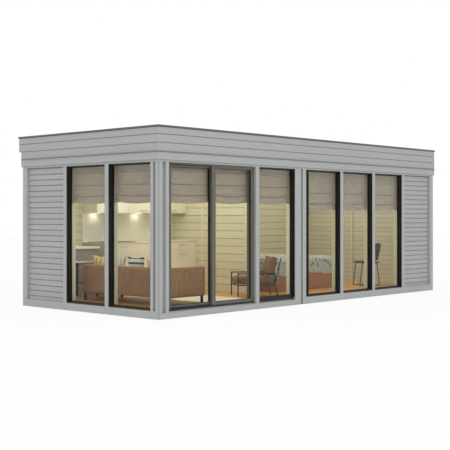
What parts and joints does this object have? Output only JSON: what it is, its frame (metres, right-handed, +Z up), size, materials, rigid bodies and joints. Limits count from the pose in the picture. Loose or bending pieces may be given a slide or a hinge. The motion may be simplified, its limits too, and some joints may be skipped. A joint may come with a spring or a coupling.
{
  "type": "garden office pod",
  "caption": "Flat-roofed grey timber garden room with a glazed front and left side, a sliding glass door, a deep board fascia and furnished rooms inside.",
  "frame": {"origin": "on the ground at the middle of the wall footprint, on the underside of the middle floor bearer", "axes": "+X along the front to the right as seen from outside, +Y from front to back, +Z up"},
  "size_m": [7.084, 3.146, 2.59],
  "materials": {
    "grey_paint": "satin grey exterior paint over planed boards",
    "cap_metal": "satin dark grey coating",
    "roof_membrane": "matt sheet membrane",
    "raw_timber": "sawn softwood",
    "lining_pine": "cream oiled tongue and groove boards",
    "ceiling_paint": "matt white paint",
    "floor_oak": "satin lacquered boards",
    "frame_black": "satin black powder coat",
    "door_bronze": "satin bronze grey powder coat",
    "glass": "clear double glazing",
    "blind_linen": "plain woven linen",
    "sofa_fabric": "brown woven upholstery",
    "scatter_fabric": "striped cotton",
    "rug_wool": "cream wool pile",
    "kitchen_cream": "satin cream laminate",
    "worktop_stone": "pale honed composite",
    "bed_timber": "stained red-brown timber",
    "bed_cotton": "grey-green patterned cotton",
    "chair_leather": "black soft leather",
    "black_metal": "matt black powder coat"
  },
  "bodies": {
    "pod": {"floor_bearers": "raw_timber", "floor_deck": "raw_timber", "floorboards": "floor_oak", "plinth_boards": "grey_paint", "corner_posts": "grey_paint", "module_posts": "grey_paint", "front_wall": "raw_timber", "left_wall": "raw_timber", "back_wall": "raw_timber", "right_wall": "raw_timber", "front_cladding": "grey_paint", "left_cladding": "grey_paint", "back_cladding": "grey_paint", "right_cladding": "grey_paint", "wall_linings": "lining_pine", "partition": "lining_pine", "long_headers": "grey_paint", "end_headers": "grey_paint", "ceiling": "ceiling_paint", "roof_deck": "raw_timber", "roof_membrane": "roof_membrane", "roof_cap": "cap_metal", "upper_fascia": "grey_paint", "lower_fascia": "grey_paint", "drip_strips": "grey_paint", "eave_soffit": "grey_paint", "mullions": "grey_paint", "window_trims": "grey_paint", "window_sills": "door_bronze", "window_stiles": "frame_black", "window_rails": "frame_black", "window_glass": "glass", "door_jambs": "door_bronze", "door_head": "door_bronze", "fixed_leaf_stiles": "door_bronze", "fixed_leaf_rails": "door_bronze", "fixed_leaf_glass": "glass", "blinds": "blind_linen", "sofa_frame": "sofa_fabric", "sofa_feet": "black_metal", "seat_cushions": "sofa_fabric", "scatter_cushions": "scatter_fabric", "rug": "rug_wool", "kitchen_units": "kitchen_cream", "worktop": "worktop_stone", "wall_cupboards": "kitchen_cream", "bar_table": "kitchen_cream", "bar_table_legs": "black_metal", "armchair_frame": "black_metal", "armchair_cushions": "sofa_fabric", "bed_base": "bed_timber", "bed_covers": "bed_cotton", "chair_shell": "chair_leather", "chair_legs": "black_metal"},
    "sliding_leaf": {"sliding_leaf_stiles": "door_bronze", "sliding_leaf_rails": "door_bronze", "sliding_leaf_glass": "glass"}
  },
  "joints": [
    {"name": "door_slide", "type": "slide", "parent": "pod", "child": "sliding_leaf", "axis": [1, 0, 0], "range_m": [0, 0.78]}
  ]
}
